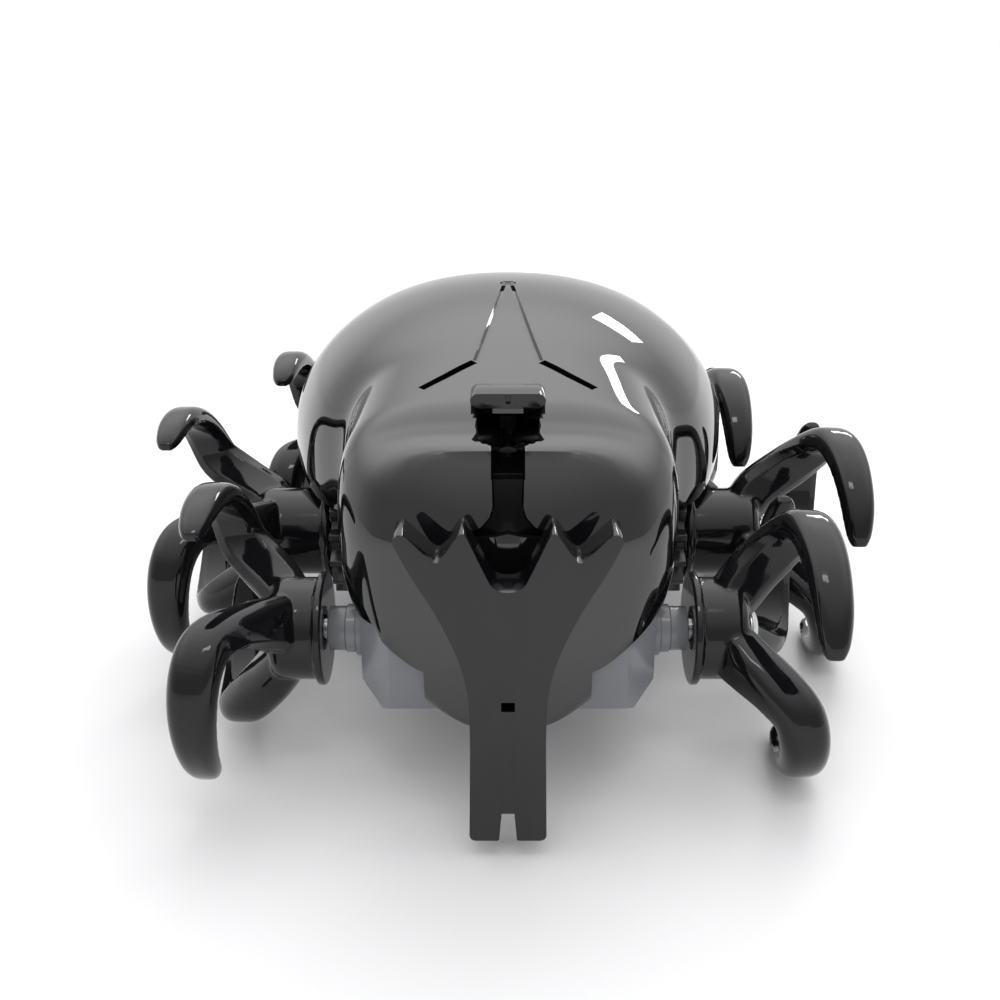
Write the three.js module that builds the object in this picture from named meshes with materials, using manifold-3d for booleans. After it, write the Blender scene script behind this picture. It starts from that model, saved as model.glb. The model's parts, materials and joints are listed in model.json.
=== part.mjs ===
// A toy-sized hexapod spider robot: a beetle-shaped shell on a narrow chassis, six motor-driven
// claw rotors that turn like pinwheels, and a crowned horn in front.
// Millimetres. The robot faces -Y, +X is to the right of someone facing it, and +Z is up.
// The origin is on the ground below the middle of the whole machine.
import * as THREE from "three";
import { mergeVertices } from "three/addons/utils/BufferGeometryUtils.js";
import Module from "manifold-3d";

const wasm = await Module();
wasm.setup();

// ---------- driving dimensions ----------
const GAP = 0.3; // air kept between pieces that meet
const AXLE_Z = 16.341; // height of the six axles above the ground
const AXLE_SPACING = 26; // from one axle to the next, along Y
const STATIONS = { front: -AXLE_SPACING, mid: 0, rear: AXLE_SPACING };
const AXLE_R = 1.2;
const BORE_R = AXLE_R + GAP;
const BOSS_R = 5.5; // the leg's round boss
const FLANGE_R = 6.1;
const FLANGE_WIDTH = 0.8;
const BOSS_END = { front: 25.3, mid: 31.3, rear: 25.3 }; // where each boss ends, from the middle plane
const BOSS_LENGTH = { front: 5.9, mid: 9.2, rear: 5.9 };
const CLAWS = 3;
const CLAW_SWEEP = THREE.MathUtils.degToRad(86); // from a claw's root round to its tip
const PHASE = { right: THREE.MathUtils.degToRad(14), left: THREE.MathUtils.degToRad(61) };

const TRAIN_X = 7.0; // inner gear train, from here outwards
const TRAIN_WIDTH = 2.0;
const LEG_TEETH = 11;
const IDLER_TEETH = 15;
const DRIVE_TEETH = 14;
const PINION_TEETH = 10;
const TOOTH_MODULE = 1;
const TOOTH_TIP = 0.72; // tooth height above the pitch circle, and below it to the root
const TOOTH_ROOT = 1.15;
const DRIVE_X = 20.0; // drive gear and pinion, outside the chassis wall
const DRIVE_WIDTH = 1.8;
const PINION_ANGLE = THREE.MathUtils.degToRad(60); // direction from the middle axle to the pinion
const PINION_REACH = ((DRIVE_TEETH + PINION_TEETH) * TOOTH_MODULE) / 2;
const MOTOR_Y = PINION_REACH * Math.cos(PINION_ANGLE);
const MOTOR_Z = PINION_REACH * Math.sin(PINION_ANGLE);
const MOTOR_R = 3.6;

const TUB = {
  half: 15.4, // half width at the ends
  wide: 19.6, // half width amidships, and how far fore and aft that goes
  wideHalf: 11.5,
  top: 3.9,
  floor: -9.6,
  front: -33.4,
  rear: 36,
  wall: 1.2,
  slimChamfer: 5.8,
  wideChamfer: 9,
  cornerCut: 3.2, // off the bow's corners, seen from above
};
const SLEEVE_R = 2.4; // sleeve that carries an axle out to its leg
const SCREWS = [[-4.6, -23.2], [4.6, -23.2], [-4.6, 25.6], [4.6, 25.6]]; // where shell screws stand, x and y
const BAY = { x: 5.5, y: 14 }; // half sizes of the battery bay
const SWITCH_Y = 21.5;
const SWITCH_TRAVEL = 3;
const SHELL_WALL = 1.3;
const FACE_Y = -35.2; // front face of the shell
const REAR_ARCH = { x: 24, r: 11.6 }; // arch in the shell's rim that the rear claws turn in
const NOTCH = { x: 3.05, rear: -24.9 };
const HORN = { front: -44, thick: 3.8 };

// The shell's cross-sections from front to back: y, half width, top, lower edge, half width at that
// edge, height where the side starts to turn in, and how square the section is.
const SHELL_SECTIONS = [
  [-35.2, 13.4, 23.1, -6.4, 4.0, 11.0, 5.4],
  [-34.5, 15.0, 23.5, -6.4, 4.4, 11.0, 4.8],
  [-33.0, 16.4, 23.9, -6.0, 5.5, 11.0, 4.4],
  [-30.0, 17.4, 24.4, -4.0, 9.0, 11.0, 4.0],
  [-26.0, 17.9, 25.1, 4.0, 16.6, 11.0, 3.8],
  [-20.0, 18.0, 26.3, 7.0, 17.4, 10.5, 3.3],
  [-14.0, 18.6, 27.5, 7.0, 18.2, 10.0, 2.9],
  [-9.0, 20.6, 28.6, 6.8, 20.2, 10.0, 2.6],
  [-4.0, 23.6, 29.5, 6.5, 23.0, 10.0, 2.4],
  [1.0, 25.9, 30.1, 6.5, 25.2, 10.0, 2.3],
  [8.0, 27.5, 30.4, 6.5, 26.6, 10.0, 2.2],
  [15.0, 27.0, 30.0, 6.6, 26.2, 10.0, 2.2],
  [22.0, 25.3, 28.4, 6.8, 24.6, 10.0, 2.2],
  [28.0, 22.9, 25.8, 7.0, 22.2, 9.5, 2.2],
  [33.0, 19.9, 22.4, 6.8, 19.2, 8.5, 2.2],
  [38.0, 15.8, 17.4, 1.0, 14.8, 5.0, 2.2],
  [42.0, 10.6, 11.6, -3.0, 9.8, 1.0, 2.2],
  [44.0, 6.0, 6.4, -3.6, 5.4, 0.0, 2.2],
];

// Half the outline of the horn's plate, as x and z, from the middle of the crown down to the foot.
const HORN_HALF = [
  [0, 13.2], [1.5, 13.9], [3.7, 18.8], [4.5, 18.8], [6.2, 16.1], [7.1, 16.1], [9.5, 19.1], [10.4, 18.2],
  [10.0, 16.9], [7.9, 13.0], [5.8, 8.4], [4.4, 3.6], [3.9, -1.5], [3.8, -13.0], [3.0, -14.0],
  [0.75, -14.0], [0.6, -11.2], [0, -11.2],
];

// Centre line of a claw: how far out of the boss's end, distance from the axle, share of the sweep
// still to go, width along the axle, and thickness.
const CLAW_LINE = [
  [-1.9, 2.6, 1.0, 5.0, 4.4],
  [1.0, 6.2, 1.0, 5.2, 4.3],
  [3.3, 9.6, 0.97, 5.1, 4.0],
  [4.8, 12.4, 0.84, 5.0, 3.7],
  [5.5, 13.9, 0.65, 4.9, 3.3],
  [5.9, 14.6, 0.43, 4.6, 2.9],
  [6.0, 14.9, 0.2, 4.1, 2.5],
  [6.0, 15.1, 0.0, 3.0, 1.9],
];
// Section of a claw as shares of its width and thickness: flat inside, rounded outside.
const CLAW_SECTION = [
  [-0.5, -0.42], [0.5, -0.42], [0.5, 0.1], [0.36, 0.42],
  [0.12, 0.58], [-0.12, 0.58], [-0.36, 0.42], [-0.5, 0.1],
];
const CLAW_FLARE = { front: 1, mid: 1.55, rear: 1 }; // the middle claws lean out more

// ---------- materials ----------
const plastic = (color, roughness) => new THREE.MeshStandardMaterial({ color, roughness, metalness: 0 });
const metal = (color, roughness) => new THREE.MeshStandardMaterial({ color, roughness, metalness: 1 });
const SHELL = plastic(0x3a3b3d, 0.12);
const LEG = plastic(0x161618, 0.2);
const HORN_GREY = plastic(0x2c2e31, 0.35);
const WINDOW = plastic(0x050506, 0.08);
const TUB_GREY = plastic(0x8c8e92, 0.35);
const GEAR_BLACK = plastic(0x1b1b1d, 0.4);
const IDLER_WHITE = plastic(0xd8d6cc, 0.45);
const BOARD_GREEN = plastic(0x1d5a35, 0.5);
const CELL = plastic(0x9aa3ad, 0.4);
const STEEL = metal(0xb9bcc0, 0.3);
const SWITCH_RED = plastic(0x9d1f1f, 0.45);

// ---------- solids ----------
const solidOf = (geometry) => {
  const bare = geometry.index ? geometry.toNonIndexed() : geometry.clone();
  for (const name of Object.keys(bare.attributes)) if (name !== "position") bare.deleteAttribute(name);
  const merged = mergeVertices(bare, 1e-4);
  return new wasm.Manifold(
    new wasm.Mesh({
      numProp: 3,
      vertProperties: merged.attributes.position.array,
      triVerts: new Uint32Array(merged.index.array),
    }),
  );
};

const geometryOf = (solid) => {
  const mesh = solid.getMesh();
  const geometry = new THREE.BufferGeometry();
  geometry.setAttribute("position", new THREE.BufferAttribute(Float32Array.from(mesh.vertProperties), 3));
  geometry.setIndex(new THREE.BufferAttribute(Uint32Array.from(mesh.triVerts), 1));
  return geometry;
};

const join = (first, ...others) => others.reduce((sum, solid) => sum.add(solid), first);
const cut = (first, ...others) => others.reduce((rest, solid) => rest.subtract(solid), first);

const box = (x0, x1, y0, y1, z0, z1) =>
  solidOf(
    new THREE.BoxGeometry(x1 - x0, y1 - y0, z1 - z0).translate((x0 + x1) / 2, (y0 + y1) / 2, (z0 + z1) / 2),
  );

// Turned piece along X: profile points are [distance along X, radius], from axis to axis or closed.
const turned = (profile, y = 0, z = 0, sides = 20) => {
  const points = profile.map(([x, r]) => new THREE.Vector2(r, x));
  const alongX = new THREE.Matrix4().makeBasis(
    new THREE.Vector3(0, 0, 1),
    new THREE.Vector3(1, 0, 0),
    new THREE.Vector3(0, 1, 0),
  );
  return solidOf(new THREE.LatheGeometry(points, sides).applyMatrix4(alongX).translate(0, y, z));
};
const rod = (x0, x1, r, y = 0, z = 0, sides = 20) =>
  turned([[x0, 0], [x0, r], [x1, r], [x1, 0]], y, z, sides);
const tube = (x0, x1, outer, inner, y = 0, z = 0, sides = 20) =>
  turned([[x0, inner], [x0, outer], [x1, outer], [x1, inner], [x0, inner]], y, z, sides);

// Screw or pin standing along Z: head at the bottom.
const uprightScrew = (x, y, z, headR, headH, shankR, shankH) => {
  const points = [[0, 0], [headR, 0], [headR, headH], [shankR, headH], [shankR, shankH], [0, shankH]];
  const profile = points.map(([r, h]) => new THREE.Vector2(r, z + h));
  return solidOf(new THREE.LatheGeometry(profile, 14).rotateX(Math.PI / 2).translate(x, y, 0));
};

// A flat outline given as [u, v] points, pushed through along X (u is Y and v is Z) or along Y.
const shapeOf = (points) => new THREE.Shape(points.map(([u, v]) => new THREE.Vector2(u, v)));
const pushed = (shape, depth) => new THREE.ExtrudeGeometry(shape, { depth, bevelEnabled: false });
const pushedAlongX = (shape, x0, x1) => {
  const basis = new THREE.Matrix4().makeBasis(
    new THREE.Vector3(0, 1, 0),
    new THREE.Vector3(0, 0, 1),
    new THREE.Vector3(1, 0, 0),
  );
  return solidOf(pushed(shape, x1 - x0).applyMatrix4(basis).translate(x0, 0, 0));
};
const pushedAlongY = (shape, y0, y1) =>
  solidOf(pushed(shape, y1 - y0).rotateX(Math.PI / 2).translate(0, y1, 0));

// Closed body through rings of points that all have the same count, first ring first.
const lofted = (rings) => {
  const count = rings[0].length;
  const vertices = rings.flat();
  const middle = (ring) => ring.reduce((sum, p) => sum.add(p), new THREE.Vector3()).divideScalar(count);
  const faces = [];
  for (let i = 0; i + 1 < rings.length; i++)
    for (let j = 0; j < count; j++) {
      const a = i * count + j;
      const b = i * count + ((j + 1) % count);
      faces.push(a, b, b + count, a, b + count, a + count);
    }
  const firstCap = vertices.length;
  vertices.push(middle(rings[0]), middle(rings.at(-1)));
  const last = (rings.length - 1) * count;
  for (let j = 0; j < count; j++) {
    const k = (j + 1) % count;
    faces.push(firstCap, k, j, firstCap + 1, last + j, last + k);
  }
  const geometry = new THREE.BufferGeometry().setFromPoints(vertices);
  geometry.setIndex(faces);
  const solid = solidOf(geometry);
  if (solid.volume() > 0) return solid;
  geometry.setIndex(faces.toReversed());
  return solidOf(geometry);
};

// ---------- pieces that repeat ----------
function gear(teeth, x, width, bore, phase) {
  const pitchR = (teeth * TOOTH_MODULE) / 2;
  const rootR = pitchR - TOOTH_ROOT * TOOTH_MODULE;
  const tipR = pitchR + TOOTH_TIP * TOOTH_MODULE;
  const step = (2 * Math.PI) / teeth;
  const points = [];
  for (let i = 0; i < teeth; i++) {
    const middle = phase + i * step;
    for (const [r, share] of [[rootR, -0.29], [tipR, -0.1], [tipR, 0.1], [rootR, 0.29]])
      points.push([r * Math.cos(middle + share * step), r * Math.sin(middle + share * step)]);
  }
  return cut(pushedAlongX(shapeOf(points), x, x + width), rod(x - 1, x + width + 1, bore, 0, 0, 16));
}

// One claw in its rotor's own frame: X outwards from the boss's end, the tip pointing forwards (-Y).
function claw(root, flare) {
  const centres = CLAW_LINE.map(([out, r, share]) => {
    const angle = root + share * CLAW_SWEEP;
    const x = out > 0 ? out * flare : out;
    return new THREE.Vector3(x, -r * Math.cos(angle), r * Math.sin(angle));
  });
  const rings = centres.map((centre, i) => {
    const before = centres[Math.max(i - 1, 0)];
    const after = centres[Math.min(i + 1, centres.length - 1)];
    const along = after.clone().sub(before).normalize();
    const wide = new THREE.Vector3(1, 0, 0).addScaledVector(along, -along.x).normalize();
    const back = along.clone().cross(wide).normalize();
    const [, , , width, thick] = CLAW_LINE[i];
    return CLAW_SECTION.map(([w, t]) =>
      centre.clone().addScaledVector(wide, w * width).addScaledVector(back, t * thick),
    );
  });
  return lofted(rings);
}

// A leg is one moulding: a flanged boss on the axle with three claws round its end.
function leg(station) {
  const length = BOSS_LENGTH[station];
  const flange = FLANGE_WIDTH - length;
  const boss = turned([
    [-length, 0],
    [-length, FLANGE_R],
    [flange, FLANGE_R],
    [flange, BOSS_R],
    [-0.5, BOSS_R],
    [0, BOSS_R - 0.5],
    [0, 0],
  ]);
  const claws = Array.from({ length: CLAWS }, (_, i) => claw((i * 2 * Math.PI) / CLAWS, CLAW_FLARE[station]));
  return cut(join(boss, ...claws), rod(-length - 1, 1, BORE_R), rod(GAP, 9, 2.8));
}

// ---------- the shell ----------
function sectionRing([y, half, top, edge, edgeHalf, turn, square], shrink, drop) {
  const cornerSteps = 8;
  const sideSteps = 3;
  const w = half - shrink;
  const wEdge = edgeHalf - shrink;
  const crown = top - shrink;
  const right = [];
  for (let i = 0; i < sideSteps; i++) {
    const a = (i / sideSteps) * (Math.PI / 2);
    const z = edge + (turn - edge) * (1 - Math.cos(a));
    right.push([wEdge + (w - wEdge) * Math.sin(a) ** 1.3, i ? z : z - drop]);
  }
  for (let i = 0; i <= cornerSteps; i++) {
    const a = (i / cornerSteps) * (Math.PI / 2);
    right.push([w * Math.cos(a) ** (2 / square), turn + (crown - turn) * Math.sin(a) ** (2 / square)]);
  }
  const left = right.slice(0, -1).reverse().map(([x, z]) => [-x, z]);
  return [...right, ...left].map(([x, z]) => new THREE.Vector3(x, y, z));
}

function shell() {
  const outer = lofted(SHELL_SECTIONS.map((row) => sectionRing(row, 0, 0)));
  const innerRows = SHELL_SECTIONS.map((row) => [...row]);
  innerRows[0][0] += SHELL_WALL;
  innerRows[1][0] += 0.9;
  innerRows[2][0] += 0.3;
  innerRows.at(-1)[0] -= SHELL_WALL;
  innerRows.at(-2)[0] -= 0.4;
  const inner = lofted(innerRows.map((row) => sectionRing(row, SHELL_WALL, 2)));
  const mirrored = (x0, x1, r, y, z) => [rod(x0, x1, r, y, z, 32), rod(-x1, -x0, r, y, z, 32)];
  const axleArches = mirrored(8.5, 30, 9.6, STATIONS.front, -3);
  const archProfile = [[21, 0], [21, 7], [REAR_ARCH.x, REAR_ARCH.r], [30, REAR_ARCH.r], [30, 0]];
  const rearArch = turned(archProfile, STATIONS.rear, 0, 40);
  const rearArches = [rearArch, rearArch.mirror([1, 0, 0])];
  const gearRelief = mirrored(DRIVE_X - GAP, DRIVE_X + DRIVE_WIDTH + GAP, 8.1, 0, 0);
  return cut(
    outer,
    inner,
    ...axleArches,
    ...rearArches,
    ...gearRelief,
    box(-20, 20, FACE_Y + SHELL_WALL + 0.1, -20, -12, TUB.top + 2 * GAP),
    box(-NOTCH.x, NOTCH.x, FACE_Y - 1, NOTCH.rear, 20.4, 32),
    box(-1.9, 1.9, FACE_Y - 1, FACE_Y + 2, 12, 24),
  );
}

// Dark window under the brow: its top lies in the notch, its tongue in the slot of the face.
const window = () =>
  join(
    box(-NOTCH.x + GAP, NOTCH.x - GAP, -33.6, NOTCH.rear - GAP, 19.4, 22),
    box(-1.6, 1.6, FACE_Y + 0.2, -33.5, 12.3, 21.5),
  );

// Small visor over the back of the notch.
const browCap = () => {
  const bottom = 25.1;
  const right = [[3.6, 0], [3.8, 0.5], [3.6, 1.3], [2.4, 1.7]];
  const left = right.map(([x, z]) => [-x, z]).reverse();
  const outline = [...right, [0, 1.8], ...left].map(([x, z]) => [x, z + bottom]);
  const cap = pushedAlongY(shapeOf(outline), -26.4, -23.2);
  return cut(cap, box(-0.25, 0.25, -27, -26.1, 25, 26.4), shellSolid);
};

function horn() {
  const right = HORN_HALF;
  const left = right.slice(1, -1).reverse().map(([x, z]) => [-x, z]);
  const plate = pushedAlongY(shapeOf([...right, ...left]), HORN.front, HORN.front + HORN.thick);
  const back = HORN.front + HORN.thick;
  const tongueSide = [[-28, -9.4], [-27.2, -9.2], [-31.4, -6.8], [back - 0.5, -6.8], [back - 0.5, -9.4]];
  const keelSide = [[back - 0.2, -12], [back + 1.7, -9.4], [back + 1.4, -2], [back - 0.2, 3]];
  const tongue = pushedAlongX(shapeOf(tongueSide), -2.6, 2.6);
  const keel = pushedAlongX(shapeOf(keelSide), -2.2, 2.2);
  const hole = box(-0.65, 0.65, HORN.front - 1, HORN.front + 2.4, 0.8, 1.8);
  return cut(join(plate, tongue, keel), hole);
}

// ---------- the chassis ----------
function tubSection(half, floor, shrink, top, chamfer) {
  const h = half - shrink;
  const f = floor + shrink;
  const c = chamfer - 0.4 * shrink;
  return shapeOf([[-h, top], [-h, f + c], [-h + c, f], [h - c, f], [h, f + c], [h, top]].reverse());
}

// Sleeves that carry the axles out to the legs, and the posts the idlers turn on.
function sleevesAndPosts(side) {
  const along = (near, far, r, y, sides) => {
    const [x0, x1] = side > 0 ? [near, far] : [-far, -near];
    return rod(x0, x1, r, y, 0, sides);
  };
  const inner = TUB.half - TUB.wall;
  const sleeveEnd = BOSS_END.front - BOSS_LENGTH.front - GAP;
  const idlerY = AXLE_SPACING / 2;
  return [
    along(inner - 1.6, sleeveEnd, SLEEVE_R, STATIONS.front, 20),
    along(inner - 1.6, sleeveEnd, SLEEVE_R, STATIONS.rear, 20),
    along(TUB.wide - 3.2, DRIVE_X - GAP, SLEEVE_R, STATIONS.mid, 20),
    ...[-idlerY, idlerY].flatMap((y) => [
      along(TRAIN_X - 0.6, inner + 0.3, AXLE_R, y, 14),
      along(TRAIN_X + TRAIN_WIDTH + 0.4, inner + 0.3, 2.2, y, 14),
    ]),
  ];
}

// What the tub's bow and stern lose: the space ahead of a sloping front (or behind a sloping back).
function endWedge(y, way, inset) {
  const top = TUB.top + 4;
  const slope = [[-3, -14], [8, -14], [8, TUB.floor], [0, -5.5], [0, top], [-3, top]];
  const points = slope.map(([u, v]) => [y + way * (u + inset), v + 0.5 * inset]);
  return pushedAlongX(shapeOf(way > 0 ? points.reverse() : points), -21, 21);
}

function tub() {
  const slim = (shrink, top) => {
    const section = tubSection(TUB.half, TUB.floor, shrink, top, TUB.slimChamfer);
    return pushedAlongY(section, TUB.front + shrink, TUB.rear - shrink);
  };
  const wide = (shrink, top) => {
    const section = tubSection(TUB.wide, TUB.floor, shrink, top, TUB.wideChamfer);
    return pushedAlongY(section, shrink - TUB.wideHalf, TUB.wideHalf - shrink);
  };
  const corner = (side, inset) => {
    const reach = TUB.cornerCut + inset;
    const plan = [[0, 0], [side * reach, 0], [side * reach, reach]];
    const shape = shapeOf(side > 0 ? plan : plan.toReversed());
    return solidOf(pushed(shape, 24).translate(side * (TUB.half - reach + 0.01), TUB.front - 0.01, -14));
  };
  const ends = (inset) => [
    endWedge(TUB.front, 1, inset),
    endWedge(TUB.rear, -1, inset),
    corner(1, inset),
    corner(-1, inset),
  ];
  const outside = cut(join(slim(0, TUB.top), wide(0, TUB.top)), ...ends(0));
  const hollow = cut(join(slim(TUB.wall, TUB.top + 2), wide(TUB.wall, TUB.top + 2)), ...ends(TUB.wall));
  const walls = cut(outside, hollow);
  const bores = Object.values(STATIONS).map((y) => rod(-25, 25, BORE_R, y, 0, 20));
  const screwHoles = SCREWS.map(([x, y]) => uprightScrew(x, y, TUB.floor - 1, 1.9, 4, 1.9, 4));
  const tipR = LEG_TEETH / 2 + TOOTH_TIP;
  const gearPockets = [TRAIN_X - GAP, -TRAIN_X - TRAIN_WIDTH - GAP].map((x) =>
    rod(x, x + TRAIN_WIDTH + 2 * GAP, tipR + GAP, STATIONS.front, 0, 36),
  );
  return cut(
    join(walls, ...[-1, 1].flatMap(sleevesAndPosts)),
    ...bores,
    ...gearPockets,
    ...screwHoles,
    box(-BAY.x, BAY.x, -BAY.y, BAY.y, TUB.floor - 1, TUB.floor + 3),
    box(-1.5, 1.5, SWITCH_Y - 1.8, SWITCH_Y + SWITCH_TRAVEL + 1.8, TUB.floor - 1, TUB.floor + 3),
  );
}

function motorDeck() {
  const plate = box(-6, 6, -18.5, 20, 5.2, 6.2);
  const foot = TUB.floor + TUB.wall + GAP;
  const column = (x, y) => box(x - 0.9, x + 0.9, y - 0.9, y + 0.9, foot, 5.4);
  const legs = [-17, 18].flatMap((y) => [-5, 5].map((x) => column(x, y)));
  const cradle = box(-6, 6, MOTOR_Y - 5, MOTOR_Y + 5, 6, 9);
  return cut(join(plate, ...legs, cradle), rod(-20, 20, MOTOR_R + GAP, MOTOR_Y, MOTOR_Z, 28));
}

// Motor can with a flat on top, its gearbox with a hole for the pinion's shaft, and the rear bearing.
const gearmotor = () => {
  const along = (x0, x1, r, sides) => rod(x0, x1, r, MOTOR_Y, MOTOR_Z, sides);
  const flat = box(0, 14, MOTOR_Y - 4, MOTOR_Y + 4, MOTOR_Z + 2.9, MOTOR_Z + 5);
  const can = cut(along(1.0, 15.4, MOTOR_R, 24), flat);
  const gearbox = cut(along(15, 18.6, MOTOR_R - 0.3, 24), along(16.4, 20, 1.2, 12));
  return join(can, gearbox, along(0.4, 1.4, 1.3, 12));
};

// Pinion with its shaft, centred on the axis.
const pinion = () =>
  join(
    gear(PINION_TEETH, DRIVE_X, DRIVE_WIDTH, 0.5, PINION_ANGLE + Math.PI + Math.PI / PINION_TEETH),
    rod(16.8, DRIVE_X + DRIVE_WIDTH + 0.4, 0.85, 0, 0, 12),
  );

// Board with its soldered parts: processor, driver, crystal, infrared eye and capacitor block.
const circuitBoard = () =>
  join(
    box(-5.6, 5.6, -23.5, -1, 6.5, 7.5),
    box(-3.4, 1.6, -12, -7, 7.3, 8.7),
    box(2.6, 4.8, -11, -8.6, 7.3, 8.5),
    box(-4.6, -2.6, -19.6, -17.4, 7.3, 8.9),
    box(-1.5, 1.5, -21.8, -18.8, 7.3, 12.3),
    box(1.2, 4.6, -5.6, -3, 7.3, 10.3),
  );
const battery = () => box(-4.8, 4.8, -13, 13, TUB.floor + 1.6, 3.6);
const batteryDoor = () =>
  cut(
    box(-BAY.x + GAP, BAY.x - GAP, -BAY.y + GAP, BAY.y - GAP, TUB.floor, TUB.floor + 1.1),
    uprightScrew(0, -11.4, TUB.floor - 1, 1.5, 4, 1.5, 4),
  );
const powerSwitch = () =>
  join(
    box(-1.2, 1.2, SWITCH_Y - 1.5, SWITCH_Y + 1.5, TUB.floor - 0.6, TUB.floor + 1.6),
    box(-2.4, 2.4, SWITCH_Y - 2.6, SWITCH_Y + 2.6, TUB.floor + 1.5, TUB.floor + 2.3),
  );

// Domed screw that holds a leg on its axle.
const legScrew = (end, y) => {
  const profile = [[-1.9, 0], [-1.9, 1.1], [0.6, 1.1], [0.6, 2.3], [1.3, 2.1], [1.6, 0.9], [1.6, 0]];
  return turned(profile.map(([x, r]) => [end + x, r]), y, 0, 12);
};

// ---------- the assembly ----------
const robot = new THREE.Group();
const body = new THREE.Group();
body.position.z = AXLE_Z;
robot.add(body);

const place = (name, solid, material, parent = body) => {
  const mesh = new THREE.Mesh(geometryOf(solid), material);
  mesh.name = name;
  parent.add(mesh);
  return mesh;
};

const shellSolid = shell();
place("upper_shell", shellSolid, SHELL);
place("ir_window", window(), WINDOW);
place("brow_cap", browCap(), HORN_GREY);
place("horn", horn(), HORN_GREY);
place("chassis_tub", tub(), TUB_GREY);
place("motor_deck", motorDeck(), TUB_GREY);
place("circuit_board", circuitBoard(), BOARD_GREEN);
place("battery", battery(), CELL);
place("battery_door", batteryDoor(), TUB_GREY);
place("door_screw", uprightScrew(0, -11.4, TUB.floor + 0.1, 1.2, 0.8, 0.6, 1.3), STEEL);
place("power_switch", powerSwitch(), SWITCH_RED);
SCREWS.forEach(([x, y], i) => {
  place(`shell_screw_${i + 1}`, uprightScrew(x, y, TUB.floor + 0.2, 1.5, 1, 0.75, 9), STEEL);
});

// Everything on the robot's other side is the mirror image, with its rotors at their own phase.
for (const side of ["right", "left"]) {
  const half = new THREE.Group();
  half.scale.x = side === "right" ? 1 : -1;
  body.add(half);
  place(`${side}_gearmotor`, gearmotor(), STEEL, half);

  const pinionMesh = place(`${side}_pinion`, pinion(), GEAR_BLACK, half);
  pinionMesh.position.set(0, MOTOR_Y, MOTOR_Z);

  const drive = gear(DRIVE_TEETH, DRIVE_X, DRIVE_WIDTH, BORE_R, PINION_ANGLE);
  place(`${side}_drive_gear`, drive, GEAR_BLACK, half);

  for (const way of ["front", "rear"]) {
    const idler = gear(IDLER_TEETH, TRAIN_X, TRAIN_WIDTH, BORE_R, 0);
    place(`${side}_${way}_idler`, idler, IDLER_WHITE, half).position.y = STATIONS[way] / 2;
  }

  for (const [station, y] of Object.entries(STATIONS)) {
    const end = BOSS_END[station];
    const legMesh = place(`${side}_${station}_leg`, leg(station), LEG, half);
    legMesh.position.set(end, y, 0);
    legMesh.rotation.x = -PHASE[side];
    place(`${side}_${station}_axle`, rod(TRAIN_X - 1, end - 2.2, AXLE_R, y, 0, 14), STEEL, half);
    const trainGear = gear(LEG_TEETH, TRAIN_X, TRAIN_WIDTH, BORE_R, 0);
    place(`${side}_${station}_gear`, trainGear, IDLER_WHITE, half).position.y = y;
    place(`${side}_${station}_leg_screw`, legScrew(end, y), STEEL, half);
  }
}

export default robot;
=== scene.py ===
"""Looks for a toy hexapod robot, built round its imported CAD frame.

Pieces are modelled in millimetres in the robot's own frame: X to the right of someone facing it,
-Y forwards, Z up, with zero at the middle axle's height. to_world() turns that into metres.
"""
import json
import math

import bmesh
import bpy
import numpy as np
from mathutils import Matrix, Vector


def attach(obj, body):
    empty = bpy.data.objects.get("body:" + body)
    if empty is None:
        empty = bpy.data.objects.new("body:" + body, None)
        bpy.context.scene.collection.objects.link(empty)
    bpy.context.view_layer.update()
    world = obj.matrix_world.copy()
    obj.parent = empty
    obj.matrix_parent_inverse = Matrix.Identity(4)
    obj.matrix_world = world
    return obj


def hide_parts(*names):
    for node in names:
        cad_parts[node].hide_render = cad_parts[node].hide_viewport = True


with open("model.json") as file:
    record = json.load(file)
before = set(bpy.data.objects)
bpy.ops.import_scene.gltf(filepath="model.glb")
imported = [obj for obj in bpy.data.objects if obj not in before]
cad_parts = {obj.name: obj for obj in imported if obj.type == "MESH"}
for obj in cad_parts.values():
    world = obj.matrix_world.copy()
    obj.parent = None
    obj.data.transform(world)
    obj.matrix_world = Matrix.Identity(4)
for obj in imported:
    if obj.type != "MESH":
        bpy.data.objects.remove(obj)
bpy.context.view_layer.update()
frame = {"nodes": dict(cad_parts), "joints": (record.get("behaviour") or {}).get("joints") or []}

MM = 0.001
SIDES = {"right": 1, "left": -1}
JOINT = {j["name"]: Vector(j["pos_m"]) for j in frame["joints"] if j["type"] == "hinge"}
AXLE_Z = JOINT["right_mid_spin"].z / MM
STATIONS = {s: JOINT[f"right_{s}_spin"].y / MM for s in ("front", "mid", "rear")}
BOSS_END = {s: JOINT[f"right_{s}_spin"].x / MM for s in ("front", "mid", "rear")}
PHASE = {"right": math.radians(14), "left": math.radians(61)}


# ---------------------------------------------------------------- meshes
def to_world(points):
    """Millimetres from the middle axle's height to metres from the ground."""
    points = np.asarray(points, float)
    return (points + np.array([0, 0, AXLE_Z])) * MM


def link(name, mesh):
    piece = bpy.data.objects.new(name, mesh)
    bpy.context.scene.collection.objects.link(piece)
    return piece


def solid(name, points, faces):
    """A new object from points in millimetres, with its faces pointing out."""
    mesh = bpy.data.meshes.new(name)
    mesh.from_pydata([tuple(p) for p in to_world(points)], [], faces)
    bm = bmesh.new()
    bm.from_mesh(mesh)
    bmesh.ops.remove_doubles(bm, verts=bm.verts, dist=0.001 * MM)
    bmesh.ops.recalc_face_normals(bm, faces=bm.faces)
    bm.to_mesh(mesh)
    bm.free()
    return link(name, mesh)


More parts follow.
